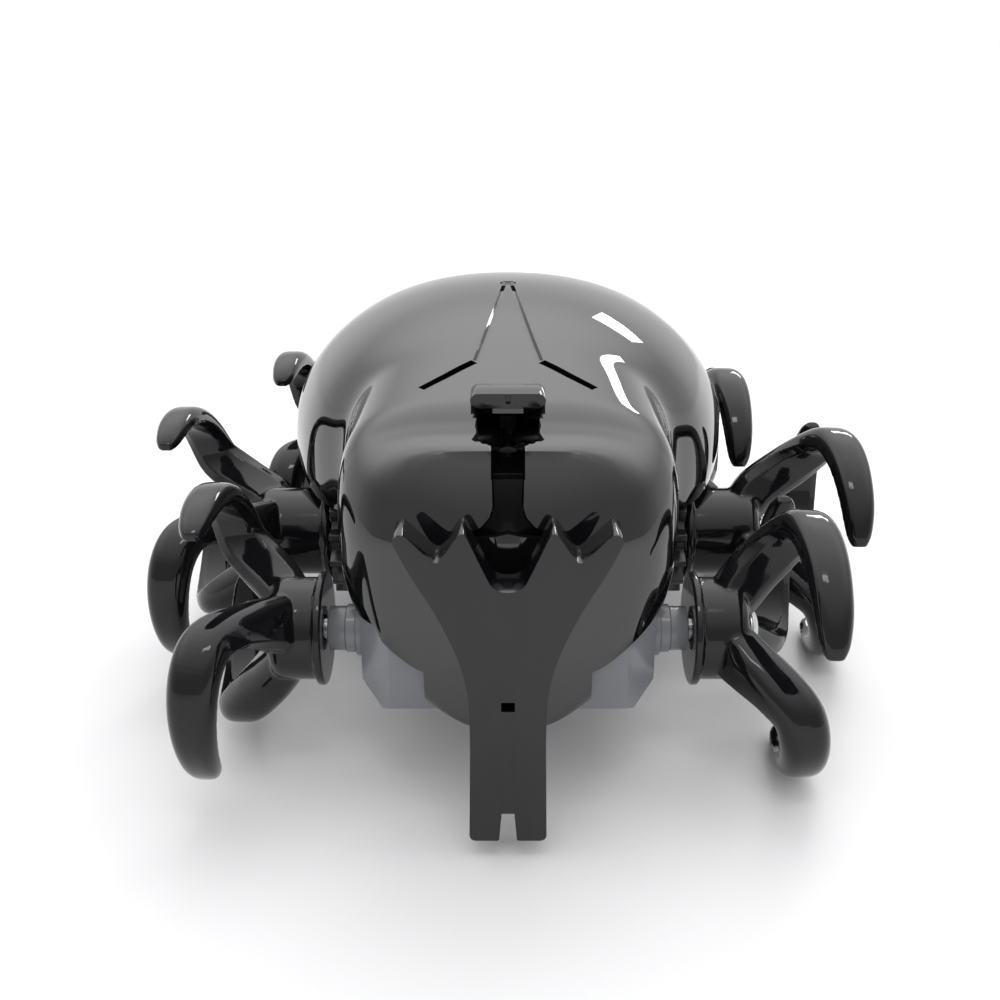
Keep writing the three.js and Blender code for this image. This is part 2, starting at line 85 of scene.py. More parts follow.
def loft(name, rings, cap=True):
    """A closed body through rings that all have the same number of points."""
    count = len(rings[0])
    points = [p for ring in rings for p in ring]
    faces = []
    for i in range(len(rings) - 1):
        for j in range(count):
            a, b = i * count + j, i * count + (j + 1) % count
            faces.append((a, b, b + count, a + count))
    if cap:
        last = (len(rings) - 1) * count
        faces.append(tuple(range(count)))
        faces.append(tuple(last + j for j in range(count)))
    return solid(name, points, faces)


def prism(name, outline, low, high, axis):
    """A flat outline pushed along an axis; the outline's two numbers are the other two axes in order."""
    others = [i for i in range(3) if i != axis]
    rings = []
    for level in (low, high):
        ring = np.zeros((len(outline), 3))
        ring[:, others] = outline
        ring[:, axis] = level
        rings.append(ring)
    return loft(name, rings)


def block(name, low, high):
    (x0, y0, z0), (x1, y1, z1) = low, high
    return prism(name, [(x0, y0), (x1, y0), (x1, y1), (x0, y1)], z0, z1, 2)


def turned(name, profile, centre=(0, 0), sides=56):
    """A body of revolution about X; profile is (x, radius) pairs, centre is (y, z)."""
    closed = profile[0] == profile[-1]
    rings = []
    for x, r in profile[:-1] if closed else profile:
        angles = [2 * math.pi * k / sides for k in range(sides)]
        reach = max(r, 1e-4)
        rings.append([(x, centre[0] + reach * math.cos(a), centre[1] + reach * math.sin(a)) for a in angles])
    if closed:
        rings.append(rings[0])
    return loft(name, rings, cap=not closed)


def finished(piece):
    """Applies the piece's modifiers."""
    bpy.context.view_layer.update()
    depsgraph = bpy.context.evaluated_depsgraph_get()
    mesh = bpy.data.meshes.new_from_object(piece.evaluated_get(depsgraph))
    piece.modifiers.clear()
    old = piece.data
    piece.data = mesh
    bpy.data.meshes.remove(old)
    mesh.name = piece.name
    return piece


def combined(piece, operation, others):
    """Cuts or joins the others in turn and uses them up; an empty result is an error."""
    for other in others:
        step = piece.modifiers.new("boolean", "BOOLEAN")
        step.operation = operation
        step.solver = "EXACT"
        step.object = other
    finished(piece)
    if not piece.data.polygons:
        raise RuntimeError(f"{operation} left nothing of {piece.name}")
    for other in others:
        bpy.data.objects.remove(other)
    return piece


def cut(piece, *tools):
    return combined(piece, "DIFFERENCE", tools)


def joined(piece, *others):
    return combined(piece, "UNION", others)


def soften(piece, width, segments=2, angle=30):
    """Rounds the sharp edges by width millimetres and shades the rest smooth."""
    step = piece.modifiers.new("bevel", "BEVEL")
    step.width = width * MM
    step.segments = segments
    step.limit_method = "ANGLE"
    step.angle_limit = math.radians(angle)
    step.harden_normals = False
    finished(piece)
    return shade(piece)


def shade(piece, angle=32):
    piece.data.shade_smooth()
    piece.data.set_sharp_from_angle(angle=math.radians(angle))
    return piece


def arc(cx, cy, radius, start, end, steps):
    """Points on an arc, from the start angle to the end angle in degrees."""
    angles = [math.radians(start + (end - start) * k / steps) for k in range(steps + 1)]
    return [(cx + radius * math.cos(a), cy + radius * math.sin(a)) for a in angles]


def rounded(points, radii, steps=5):
    """A closed outline with each corner replaced by an arc-like curve that starts radius from it."""
    outline = []
    for i, (corner, radius) in enumerate(zip(points, radii)):
        corner = Vector(corner)
        before, after = Vector(points[i - 1]), Vector(points[(i + 1) % len(points)])
        reach = min(radius, 0.48 * (before - corner).length, 0.48 * (after - corner).length)
        start = corner + (before - corner).normalized() * reach
        end = corner + (after - corner).normalized() * reach
        for k in range(steps + 1):
            t = k / steps
            outline.append(tuple(start * (1 - t) ** 2 + corner * 2 * t * (1 - t) + end * t * t))
    return outline


# ---------------------------------------------------------------- materials
def nodes_of(material):
    tree = material.node_tree
    return tree.nodes, tree.links, tree.nodes["Principled BSDF"]


def noise(nodes, links, coordinates, size_mm, detail=3.0):
    """A noise texture whose features are about size_mm across."""
    texture = nodes.new("ShaderNodeTexNoise")
    texture.inputs["Scale"].default_value = 1 / (size_mm * MM)
    texture.inputs["Detail"].default_value = detail
    links.new(coordinates, texture.inputs["Vector"])
    return texture.outputs["Fac"]


def remap(nodes, links, value, low, high):
    step = nodes.new("ShaderNodeMapRange")
    step.inputs["From Min"].default_value = 0.3
    step.inputs["From Max"].default_value = 0.7
    step.inputs["To Min"].default_value = low
    step.inputs["To Max"].default_value = high
    links.new(value, step.inputs["Value"])
    return step.outputs["Result"]


def plastic(
    name, color, roughness, ior=1.5, smudge=0.03, shift=0.12, grain=0.0, grain_mm=0.12, metallic=0.0
):
    """Moulded plastic: faint colour drift, handling smudges in the gloss, and mould grain as bump."""
    material = bpy.data.materials.new(name)
    material.use_nodes = True
    nodes, links, shader = nodes_of(material)
    place = nodes.new("ShaderNodeTexCoord").outputs["Object"]
    drift = nodes.new("ShaderNodeMix")
    drift.data_type = "RGBA"
    drift.inputs[6].default_value = (*[c * (1 - shift) for c in color], 1)
    drift.inputs[7].default_value = (*[c * (1 + shift) for c in color], 1)
    links.new(remap(nodes, links, noise(nodes, links, place, 9.0), 0, 1), drift.inputs[0])
    links.new(drift.outputs[2], shader.inputs["Base Color"])
    smudges = noise(nodes, links, place, 4.0, 6.0)
    gloss = remap(nodes, links, smudges, max(roughness - smudge, 0.01), roughness + smudge)
    links.new(gloss, shader.inputs["Roughness"])
    shader.inputs["IOR"].default_value = ior
    shader.inputs["Metallic"].default_value = metallic
    if grain:
        bump = nodes.new("ShaderNodeBump")
        bump.inputs["Strength"].default_value = grain
        bump.inputs["Distance"].default_value = 0.02 * MM
        links.new(noise(nodes, links, place, grain_mm, 2.0), bump.inputs["Height"])
        links.new(bump.outputs["Normal"], shader.inputs["Normal"])
    return material


def turned_steel(name, color, roughness):
    """Lathe-turned steel: fine rings round X from the cutting tool."""
    material = plastic(name, color, roughness, smudge=0.06, metallic=1.0)
    nodes, links, shader = nodes_of(material)
    place = nodes.new("ShaderNodeTexCoord").outputs["Object"]
    rings = nodes.new("ShaderNodeTexWave")
    rings.wave_type = "BANDS"
    rings.bands_direction = "X"
    rings.inputs["Scale"].default_value = 1400
    rings.inputs["Distortion"].default_value = 1.5
    links.new(place, rings.inputs["Vector"])
    bump = nodes.new("ShaderNodeBump")
    bump.inputs["Strength"].default_value = 0.25
    bump.inputs["Distance"].default_value = 0.01 * MM
    links.new(rings.outputs["Fac"], bump.inputs["Height"])
    links.new(bump.outputs["Normal"], shader.inputs["Normal"])
    return material


MATERIALS = {
    "shell_gloss": plastic("shell_gloss", (0.0035, 0.0037, 0.0042), 0.03, ior=1.74, smudge=0.012),
    "leg_gloss": plastic("leg_gloss", (0.005, 0.005, 0.006), 0.07, ior=1.42, smudge=0.03),
    "horn_satin": plastic(
        "horn_satin", (0.003, 0.003, 0.004), 0.13, ior=1.52, smudge=0.03, grain=0.05, grain_mm=0.1
    ),
    # Painted shade: near-black and weakly reflecting, so the inlay reads as the dark inside of a deep recess
    # in the deck's notch and face slot.
    "window_black": plastic("window_black", (0.0015, 0.0015, 0.002), 0.16, ior=1.22, smudge=0.03),
    "chassis_grey": plastic("chassis_grey", (0.17, 0.173, 0.185), 0.2, smudge=0.05, shift=0.05, grain=0.08),
    "gear_black": plastic("gear_black", (0.012, 0.012, 0.013), 0.3, smudge=0.06, grain=0.15),
    "gear_white": plastic("gear_white", (0.66, 0.64, 0.58), 0.38, smudge=0.06, shift=0.04, grain=0.1),
    "steel": turned_steel("steel", (0.55, 0.56, 0.58), 0.24),
    "board_green": plastic("board_green", (0.02, 0.13, 0.05), 0.35, smudge=0.05, shift=0.2, grain=0.2),
    "cell_wrap": plastic("cell_wrap", (0.22, 0.27, 0.33), 0.25, smudge=0.06),
    "switch_red": plastic("switch_red", (0.38, 0.02, 0.02), 0.35, smudge=0.05, grain=0.1),
}


def dress(piece, slot, body, *replaced):
    """Gives the piece its material, its body and the CAD nodes that it stands for."""
    piece.data.materials.clear()
    piece.data.materials.append(MATERIALS[slot])
    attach(piece, body)
    if replaced:
        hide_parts(*replaced)
    return piece


# ---------------------------------------------------------------- shell
# From front to back: y, half width, top, lower edge, half width at that edge, height where the side
# starts to turn in, and how square the section is.
SHELL_SECTIONS = np.array([
    [-35.2, 9.6, 23.10, -6.2, 3.0, 10.4, 6.2],
    [-35.0, 11.4, 23.20, -6.2, 3.6, 10.6, 5.8],
    [-34.5, 13.1, 23.38, -6.2, 4.1, 10.8, 5.2],
    [-33.7, 14.5, 23.57, -6.1, 4.6, 11.0, 4.8],
    [-32.5, 15.7, 23.80, -5.8, 5.4, 11.0, 4.5],
    [-31.2, 16.5, 24.12, -5.0, 7.0, 11.0, 4.2],
    [-29.5, 17.1, 24.40, -3.8, 9.0, 11.0, 4.0],
    [-26.0, 17.7, 25.10, 4.0, 16.4, 11.0, 3.8],
    [-20.0, 17.9, 26.30, 7.0, 17.3, 10.5, 3.4],
    [-14.0, 18.2, 27.50, 7.0, 17.8, 10.0, 3.1],
    [-11.0, 18.9, 28.05, 6.8, 18.5, 10.0, 2.9],
    [-8.5, 21.6, 28.60, 6.8, 21.1, 10.0, 2.7],
    [-4.0, 24.2, 29.50, 6.5, 23.6, 10.0, 2.45],
    [1.0, 26.0, 30.10, 6.5, 25.3, 10.0, 2.3],
    [8.0, 27.5, 30.40, 6.5, 26.6, 10.0, 2.2],
    [15.0, 27.0, 30.00, 6.6, 26.2, 10.0, 2.2],
    [22.0, 25.3, 28.40, 6.8, 24.6, 10.0, 2.2],
    [28.0, 22.9, 25.80, 7.0, 22.2, 9.5, 2.2],
    [33.0, 19.9, 22.40, 6.8, 19.2, 8.5, 2.2],
    [38.0, 15.8, 17.40, 1.0, 14.8, 5.0, 2.2],
    [42.0, 10.6, 11.60, -3.0, 9.8, 1.0, 2.2],
    [44.0, 6.0, 6.40, -3.6, 5.4, 0.0, 2.2],
])
SHELL_WALL = 1.3
FACE_Y = SHELL_SECTIONS[0, 0]
FACE_BULGE = 0.45
RING_POINTS = 150
NOTCH_REAR = -24.9


def monotone(table, per_step):
    """Rows between a table's rows, by cubics whose slopes never overshoot."""
    n = len(table)
    steps = np.diff(table, axis=0)
    slopes = np.zeros_like(table)
    product = steps[:-1] * steps[1:]
    total = steps[:-1] + steps[1:]
    inner = np.where(product > 0, 2 * product / np.where(total == 0, 1, total), 0)
    slopes[1:-1] = inner
    slopes[0], slopes[-1] = steps[0], steps[-1]
    rows = []
    for i in range(n - 1):
        for k in range(per_step):
            t = k / per_step
            rows.append(
                table[i] * (2 * t**3 - 3 * t**2 + 1)
                + slopes[i] * (t**3 - 2 * t**2 + t)
                + table[i + 1] * (3 * t**2 - 2 * t**3)
                + slopes[i + 1] * (t**3 - t**2)
            )
    rows.append(table[-1])
    return np.array(rows)


EASED_FROM, ROW_STEP = -30.2, 0.4  # sections behind the rounded front, and their spacing
EASING_REACH = 9  # rows to either side that a section is averaged with
EASED_COLUMNS = (1, 2, 5, 6)  # half width, top, turn and squareness


def shell_rows():
    """Closely spaced sections, eased behind the rounded front so that reflections flow."""
    rows = monotone(SHELL_SECTIONS, 14)
    tail = SHELL_SECTIONS[-1, 0]
    front = rows[rows[:, 0] <= -30.5]
    ys = np.arange(EASED_FROM, tail, ROW_STEP)
    eased = np.column_stack([ys] + [np.interp(ys, rows[:, 0], rows[:, c]) for c in range(1, 7)])
    kernel = np.exp(-0.5 * (np.arange(-EASING_REACH, EASING_REACH + 1) / 4.5) ** 2)
    kernel /= kernel.sum()
    margin = EASING_REACH * ROW_STEP
    around = np.arange(EASED_FROM - margin, tail + margin, ROW_STEP)[: len(ys) + 2 * EASING_REACH]
    fade = np.clip((ys - EASED_FROM) / 4, 0, 1) * np.clip((tail - ys) / 6, 0, 1)
    for c in EASED_COLUMNS:
        smooth = np.convolve(np.interp(around, rows[:, 0], rows[:, c]), kernel, "valid")[: len(ys)]
        eased[:, c] += (smooth - eased[:, c]) * fade
    return np.vstack([front, eased, SHELL_SECTIONS[-1]])


def section_ring(row, shrink=0.0, drop=0.0):
    """The closed section at one row, with its points evenly spread from right edge to left edge."""
    y, half, top, edge, edge_half, turn, square = row
    w, w_edge, crown = half - shrink, edge_half - shrink, top - shrink
    a = np.linspace(0, math.pi / 2, 40)
    side = np.column_stack([w_edge + (w - w_edge) * np.sin(a) ** 1.3, edge + (turn - edge) * (1 - np.cos(a))])
    side[0, 1] -= drop
    b = np.linspace(0, math.pi / 2, 120)[1:]
    cosine = np.clip(np.cos(b), 0, 1)
    over = np.column_stack([w * cosine ** (2 / square), turn + (crown - turn) * np.sin(b) ** (2 / square)])
    right = np.vstack([side, over])
    line = np.vstack([right, (right * [-1, 1])[-2::-1]])
    reach = np.concatenate([[0], np.cumsum(np.linalg.norm(np.diff(line, axis=0), axis=1))])
    at = np.linspace(0, reach[-1], RING_POINTS)
    x, z = np.interp(at, reach, line[:, 0]), np.interp(at, reach, line[:, 1])
    return np.column_stack([x, np.full(RING_POINTS, y), z])


def bulged_front(first):
    """Rings that close the front face with a slight crown, innermost first."""
    centre = np.array([0, FACE_Y, 9.5])
    rings = []
    for share in (0.02, 0.12, 0.25, 0.4, 0.55, 0.7, 0.82, 0.9, 0.96):
        ring = centre + (first - centre) * share
        ring[:, 1] = FACE_Y - FACE_BULGE * (1 - share**2)
        rings.append(ring)
    return rings


def shell_top(x, y):
    """Height of the shell's outer surface above a point, in millimetres."""
    rows = shell_top.rows
    half, top, turn, square = (np.interp(y, rows[:, 0], rows[:, c]) for c in (1, 2, 5, 6))
    across = min(abs(x) / half, 0.999)
    return turn + (top - turn) * (1 - across**square) ** (1 / square)


shell_top.rows = shell_rows()


def groove(name, path, width, depth):
    """A cutter that follows the shell's surface along a path of (x, y), square in section."""
    points = np.array(path, float)
    reach = np.concatenate([[0], np.cumsum(np.linalg.norm(np.diff(points, axis=0), axis=1))])
    at = np.linspace(0, reach[-1], max(int(reach[-1] / 0.5), 3))
    line = np.column_stack([np.interp(at, reach, points[:, i]) for i in (0, 1)])
    rings = []
    for i, p in enumerate(line):
        along = line[min(i + 1, len(line) - 1)] - line[max(i - 1, 0)]
        along /= np.linalg.norm(along)
        aside = np.array([-along[1], along[0]]) * width / 2
        ring = []
        for sign, level in ((1, -depth), (-1, -depth), (-1, 2.0), (1, 2.0)):
            x, y = p + sign * aside
            ring.append((x, y, shell_top(x, y) + level))
        rings.append(ring)
    return loft(name, rings)


# Panel lines on the dome as (x, y): two thin channels that part from the apex, then two wider slots.
CHANNEL = [
    (0.5, 5.6), (1.09, -0.19), (1.61, -4.22), (2.12, -7.57), (2.6, -10.63), (3.07, -13.5), (3.53, -16.27),
]
SLOT = [(3.6, -16.5), (5.04, -17.89), (6.37, -19.3), (7.68, -20.53), (8.98, -21.68)]
STUD_Y = 6.9


def dome_grooves():
    cutters = []
    for sign in (1, -1):
        cutters.append(groove("channel", [(sign * x, y) for x, y in CHANNEL], 0.5, 0.35))
        cutters.append(groove("slot", [(sign * x, y) for x, y in SLOT], 1.0, 0.85))
    return cutters


# Right halves of the deck's notch from above as (x, y), and of the slot it becomes in the face as (x, z).
NOTCH_PLAN = [(3.3, NOTCH_REAR), (3.15, -28.0), (3.0, -31.5), (2.9, -33.6), (1.65, -34.5), (1.65, -37.0)]
SLOT_FACE = [
    (1.65, 24.5), (1.5, 17.8), (1.8, 16.8), (2.6, 15.9), (3.9, 15.2), (3.7, 14.7), (1.4, 14.9), (0.0, 15.2),
]


def mirrored(points):
    """A closed outline from its right half."""
    left = [(-x, z) for x, z in reversed(points) if abs(x) > 1e-6]
    return list(points) + left


LEAN, DIP = 3.4, 0.7  # how far the top of the face stands behind its foot, and drops
BOW = 0.8  # how far the chin stands forward in the middle


def shape_front(piece):
    """Rolls the top of the front face back and brings the chin forward like a ship's bow."""
    points = np.array([v.co for v in piece.data.vertices])
    x, y, z = points[:, 0] / MM, points[:, 1] / MM, points[:, 2] / MM - AXLE_Z
    reach = np.clip((-24 - y) / 9.5, 0, 1)
    reach = reach * reach * (3 - 2 * reach)
    roll = np.clip((z - 13) / 10, 0, 1) ** 1.35
    low = np.clip((12 - z) / 12, 0, 1)
    bow = low * low * (3 - 2 * low) * np.clip(1 - (np.abs(x) / 11.5) ** 1.6, 0, 1)
    points[:, 1] += (LEAN * roll - BOW * bow) * reach * MM
    points[:, 2] -= DIP * roll * reach * MM
    piece.data.vertices.foreach_set("co", points.ravel())
    piece.data.update()


def both_sides(name, profile, centre, sides):
    """A turned cutter on the right, and its mirror image on the left."""
    return [turned(name, [(sign * x, r) for x, r in profile][::sign], centre, sides) for sign in (1, -1)]


def make_shell():
    rows = shell_top.rows
    outer_rings = [section_ring(row) for row in rows]
    outer = loft("upper_shell_skin", bulged_front(outer_rings[0]) + outer_rings)
    inner_rows = rows.copy()
    inner_rows[:, 0] = np.interp(
        rows[:, 0], [FACE_Y, -33.0, 38.0, 44.0], [FACE_Y + SHELL_WALL, -32.5, 38.0, 42.7]
    )
    inner = loft("inner", [section_ring(row, SHELL_WALL, 2.0) for row in inner_rows])
    front, rear = STATIONS["front"], STATIONS["rear"]
    arches = both_sides("arch", [(8.5, 9.6), (30, 9.6)], (front, -3.0), 96)
    relief = both_sides("relief", [(19.7, 8.1), (22.1, 8.1)], (0, 0), 72)
    rear_arch_profile = [(21, 0), (21, 7), (24, 11.6), (30, 11.6), (30, 0)]
    rear_arches = both_sides("rear_arch", rear_arch_profile, (rear, 0), 96)
    gear_rooms = both_sides("gear_room", [(6.4, 6.9), (9.6, 6.9)], (front, 0), 64)
    under = block("under", (-20, FACE_Y + SHELL_WALL + 0.1, -14), (20, -20, 4.5))
    notch = prism("notch", mirrored(NOTCH_PLAN), 20.4, 32, 2)
    face_slot = prism("face_slot", mirrored(SLOT_FACE), FACE_Y - 2, FACE_Y + 2, 1)
    cut(outer, inner)
    cut(outer, under, *arches, *relief, *rear_arches, *gear_rooms)
    cut(outer, notch, face_slot)
    cut(outer, *dome_grooves())
    stud_hole = prism("stud_hole", arc(0, STUD_Y, 1.0, 0, 345, 23), shell_top(0, STUD_Y) - 0.5, 34, 2)
    cut(outer, stud_hole)
    soften(outer, 0.1, 2, 38)
    shape_front(outer)
    return dress(outer, "shell_gloss", "frame", "upper_shell")


def make_apex_stud():
    """Small socket-headed stud where the dome's two channels meet."""
    level = shell_top(0, STUD_Y)
    stud = prism("apex_stud", arc(0, STUD_Y, 0.85, 0, 345, 23), level - 0.45, level - 0.02, 2)
    socket = prism("socket", arc(0, STUD_Y, 0.42, 0, 300, 5), level - 0.1, level + 1, 2)
    cut(stud, socket)
    soften(stud, 0.1)
    return dress(stud, "gear_black", "frame")


def make_window():
    """Black inlay whose colour is painted shade for a deep recess: a pan in the deck's notch and a flared
    tongue down the face.
    """
    def inset(points, by):
        return [(max(x - by, 0) if x else 0, v) for x, v in points]

    pan_plan = inset(NOTCH_PLAN[:4], 0.25)
    pan = prism("recess_shade_inlay", mirrored(pan_plan), 19.4, 20.4, 2)
    tongue_face = [(x - 0.2 if x else 0, z - 0.1) for x, z in SLOT_FACE[1:]]
    tongue_face = [(1.45, 20.3)] + tongue_face
    tongue = prism("tongue", mirrored(tongue_face), FACE_Y + 0.25, FACE_Y + 1.9, 1)
    joined(pan, tongue)
    lens_profile = [(-1.1, 0.0), (-0.9, 0.7), (0, 1.0), (0.9, 0.7), (1.1, 0.0)]
    joined(pan, turned("lens", lens_profile, (-27.2, 20.3)))
    soften(pan, 0.12)
    shape_front(pan)
    return dress(pan, "window_black", "frame", "ir_window")


def make_brow_cap():
    front, rear, low, high = -26.5, -23.0, 24.95, 26.75
    outline = mirrored([(3.3, high - 0.25), (3.78, high - 0.75), (3.78, low + 0.55), (3.2, low)])
    outline = rounded(outline, [0.5] * len(outline), 4)
    cap = prism("brow_visor", outline, front, rear, 1)
    slot = block("slot", (-0.22, front - 1, low + 0.5), (0.22, front + 0.6, high - 0.45))
    cut(cap, slot)
    soften(cap, 0.28, 4)
    return dress(cap, "horn_satin", "frame", "brow_cap")


# ---------------------------------------------------------------- horn
HORN_FRONT, HORN_BACK = -44.0, -40.2
# Right half of the crown and stem as (x, z, corner radius), from the middle of the crown to the foot.
HORN_HALF = [
    (1.3, 13.3, 2.0), (4.05, 19.5, 0.95), (6.35, 15.95, 0.75), (9.6, 19.15, 0.5), (10.4, 18.4, 0.5),
    (9.0, 15.3, 2.0), (6.4, 10.8, 4.0), (4.5, 6.2, 4.0), (3.7, 2.6, 3.0), (3.6, -2.0, 3.0),
    (3.8, -14.0, 0.75), (0.88, -14.0, 0.25), (0.66, -11.2, 0.2),
]


def make_horn():
    right = [(x, z) for x, z, _ in HORN_HALF]
    radii = [r for _, _, r in HORN_HALF]
    outline = right + [(-x, z) for x, z in reversed(right)]
    plate = prism("horn_plate", rounded(outline, radii + radii[::-1], 8), HORN_FRONT, HORN_BACK, 1)
    hole = block("hole", (-0.65, HORN_FRONT - 1, 0.8), (0.65, HORN_FRONT + 2.4, 1.8))
    fade = [(HORN_FRONT - 1, 0.7), (HORN_FRONT - 1, -12), (HORN_FRONT + 0.6, -12), (HORN_FRONT, 0.7)]
    cut(plate, hole, prism("fading_groove", fade, -0.64, 0.64, 0))
    soften(plate, 0.24, 3, 40)
    keel = prism("keel", [(-40.6, -12), (-38.5, -9.4), (-38.8, -2), (-40.6, 3)], -2.2, 2.2, 0)
    tongue_side = [(-40.6, -9.4), (-40.6, -6.8), (-31.4, -6.8), (-27.2, -9.2), (-28, -9.4)]
    tongue = prism("tongue", tongue_side, -2.6, 2.6, 0)
    soften(keel, 0.3, 3)
    soften(tongue, 0.25, 3)
    joined(plate, keel, tongue)
    shade(plate, 30)
    return dress(plate, "horn_satin", "frame", "horn")


# ---------------------------------------------------------------- legs
BOSS_R, FLANGE_R, BORE_R = 5.5, 6.1, 1.5
BOSS_LENGTH = {"front": 5.9, "mid": 9.2, "rear": 5.9}
FLARE = {"front": 1.0, "mid": 1.54, "rear": 1.0}
SWEEP = math.radians(86)
# Centre line of a claw: out from the boss's end, distance from the axle, share of the sweep to go,
# width along the axle, thickness.
CLAW_LINE = np.array([
    [-2.6, 1.2, 1.00, 4.4, 6.0],
    [-1.4, 3.4, 1.01, 5.1, 6.1],
    [0.3, 5.8, 1.01, 5.5, 5.2],
    [2.5, 8.4, 0.99, 5.6, 4.0],
    [4.5, 11.0, 0.92, 5.4, 3.3],
    [5.3, 13.0, 0.78, 5.2, 2.9],
    [5.7, 14.1, 0.60, 4.9, 2.6],
    [5.9, 14.7, 0.40, 4.4, 2.3],
    [6.0, 15.0, 0.20, 3.7, 1.9],
    [6.0, 15.15, 0.03, 2.4, 1.4],
])


def claw_section():
    """D-shaped section as (across, out) shares: flat with crisp edges inside, crowned outside."""
    crown = [(0.5 * math.copysign(abs(math.cos(a)) ** 0.6, math.cos(a)), 0.18 + 0.82 * math.sin(a) ** 0.9)
             for a in np.linspace(0, math.pi, 25)]
    flat = [(x, 0.0) for x in (-0.3, 0.0, 0.3)]
    return [(x, -0.42 + h) for x, h in crown + flat]


def claw(root, flare):
    rows = monotone(CLAW_LINE, 7)
    angles = root + rows[:, 2] * SWEEP
    out = np.where(rows[:, 0] > 0, rows[:, 0] * flare, rows[:, 0])
    centres = np.column_stack([out, -rows[:, 1] * np.cos(angles), rows[:, 1] * np.sin(angles)])
    shape = claw_section()
    rings = []
    last = len(rows) - 1
    for i, centre in enumerate(centres):
        along = centres[min(i + 1, last)] - centres[max(i - 1, 0)]
        along /= np.linalg.norm(along)
        wide = np.array([1.0, 0, 0]) - along * along[0]
        wide /= np.linalg.norm(wide)
        back = np.cross(along, wide)
        nearness = (last - i) / 3
        tip = 1.0 if nearness >= 1 else math.sqrt(1 - (1 - nearness) ** 2 * 0.55)
        rings.append([centre + wide * w * rows[i, 3] * tip + back * t * rows[i, 4] * tip for w, t in shape])
    return loft("claw", rings)


def leg_shape(station):
    """One moulding in its own frame: boss along X ending at zero, with three claws round its end."""
    length = BOSS_LENGTH[station]
    flange = 0.85 - length
    profile = [
        (-length, 0), (-length, FLANGE_R - 0.15), (0.15 - length, FLANGE_R), (flange - 0.15, FLANGE_R),
        (flange, FLANGE_R - 0.15), (flange, BOSS_R), (-1.2, BOSS_R), (-0.5, BOSS_R - 0.25),
        (-0.1, BOSS_R - 0.8), (0, BOSS_R - 1.5), (0, 0),
    ]
    body = turned("leg_shape", profile, (0, 0), 72)
    joined(body, *[claw(k * 2 * math.pi / 3, FLARE[station]) for k in range(3)])
    return body


def blend_roots(leg, voxel=0.17):
    """Remeshes the moulding evenly and melts the claws' roots into the boss, as a mould fillets them."""
    step = leg.modifiers.new("remesh", "REMESH")
    step.mode = "VOXEL"
    step.voxel_size = voxel * MM
    finished(leg)
    points = np.array([v.co for v in leg.data.vertices])
    out = points[:, 0] / MM
    radius = np.hypot(points[:, 1], points[:, 2] - AXLE_Z * MM) / MM
    near = np.clip(1 - np.abs(radius - 5.2) / 2.6, 0, 1)
    near *= np.clip((out + 2.6) / 1.0, 0, 1)
    near *= np.clip((7 - out) / 2, 0, 1)
    fillet = leg.vertex_groups.new(name="fillet")
    for index in np.nonzero(near > 0.01)[0]:
        fillet.add([int(index)], float(near[index]), "REPLACE")
    for group, times in (("fillet", 36), ("", 1)):
        relax = leg.modifiers.new("relax", "SMOOTH")
        relax.factor = 0.5
        relax.iterations = times
        relax.vertex_group = group
    finished(leg)
    leg.vertex_groups.clear()
    return leg


def placed(shape, name, side, station):
    """A copy of a leg in the robot's frame, mirrored for the left side."""
    mesh = shape.data.copy()
    mesh.name = name
    sign = SIDES[side]
    lower = Matrix.Translation((0, 0, -AXLE_Z * MM))
    turn = Matrix.Rotation(-PHASE[side], 4, "X")
    mirror = Matrix.Diagonal((sign, 1, 1, 1))
    shift = Matrix.Translation((sign * BOSS_END[station] * MM, STATIONS[station] * MM, AXLE_Z * MM))
    mesh.transform(shift @ mirror @ turn @ lower)
    if sign < 0:
        mesh.flip_normals()
    return link(name, mesh)


def make_leg_screw(side, station):
    """Domed screw with a cross recess, in the leg's end."""
    sign, end, y = SIDES[side], BOSS_END[station], STATIONS[station]
    profile = [
        (-1.9, 0), (-1.9, 1.1), (0.35, 1.1), (0.35, 2.15), (0.5, 2.3), (0.75, 2.3), (1.15, 2.0), (1.45, 1.4),
        (1.6, 0.6), (1.62, 0),
    ]
    placed_profile = [(sign * (end + x), r) for x, r in profile][::sign]
    screw = turned(f"{side}_{station}_screw_head", placed_profile, (y, 0), 40)
    low, high = sorted((sign * (end + 0.9), sign * (end + 2.5)))
    for name, half_y, half_z in (("across", 1.3, 0.22), ("upright", 0.22, 1.3)):
        cut(screw, block(name, (low, y - half_y, -half_z), (high, y + half_y, half_z)))
    soften(screw, 0.06)
    return dress(screw, "steel", f"{side}_{station}_rotor", f"{side}_{station}_leg_screw")


def make_legs():
    shapes = {s: blend_roots(leg_shape(s)) for s in ("front", "mid")}
    for side in SIDES:
        for station in STATIONS:
            shape = shapes["mid" if station == "mid" else "front"]
            leg = placed(shape, f"{side}_{station}_claw_rotor", side, station)
            shade(leg, 60)
            dress(leg, "leg_gloss", f"{side}_{station}_rotor", f"{side}_{station}_leg")
            make_leg_screw(side, station)
    for shape in shapes.values():
        bpy.data.objects.remove(shape)


# ---------------------------------------------------------------- chassis and works
def refined(node, slot, body, width, name=None, angle=30, segments=2):
    """A copy of a CAD node with its flats made whole and its edges rounded, standing for the node."""
    source = frame["nodes"][node]
    bm = bmesh.new()
    bm.from_mesh(source.data)
    bmesh.ops.remove_doubles(bm, verts=bm.verts, dist=0.002 * MM)
    bmesh.ops.dissolve_limit(bm, angle_limit=math.radians(1.5), verts=bm.verts, edges=bm.edges)
    mesh = bpy.data.meshes.new(name or f"{node}_fine")
    bm.to_mesh(mesh)
    bm.free()
    piece = link(name or f"{node}_fine", mesh)
    soften(piece, width, segments, angle)
    return dress(piece, slot, body, node)


COLLAR = [
    (15.0, 2.42), (15.0, 2.95), (16.1, 2.95), (16.25, 2.8), (16.25, 2.6), (17.2, 2.6), (17.35, 2.42),
    (15.0, 2.42),
]  # closed profile as (x, radius)


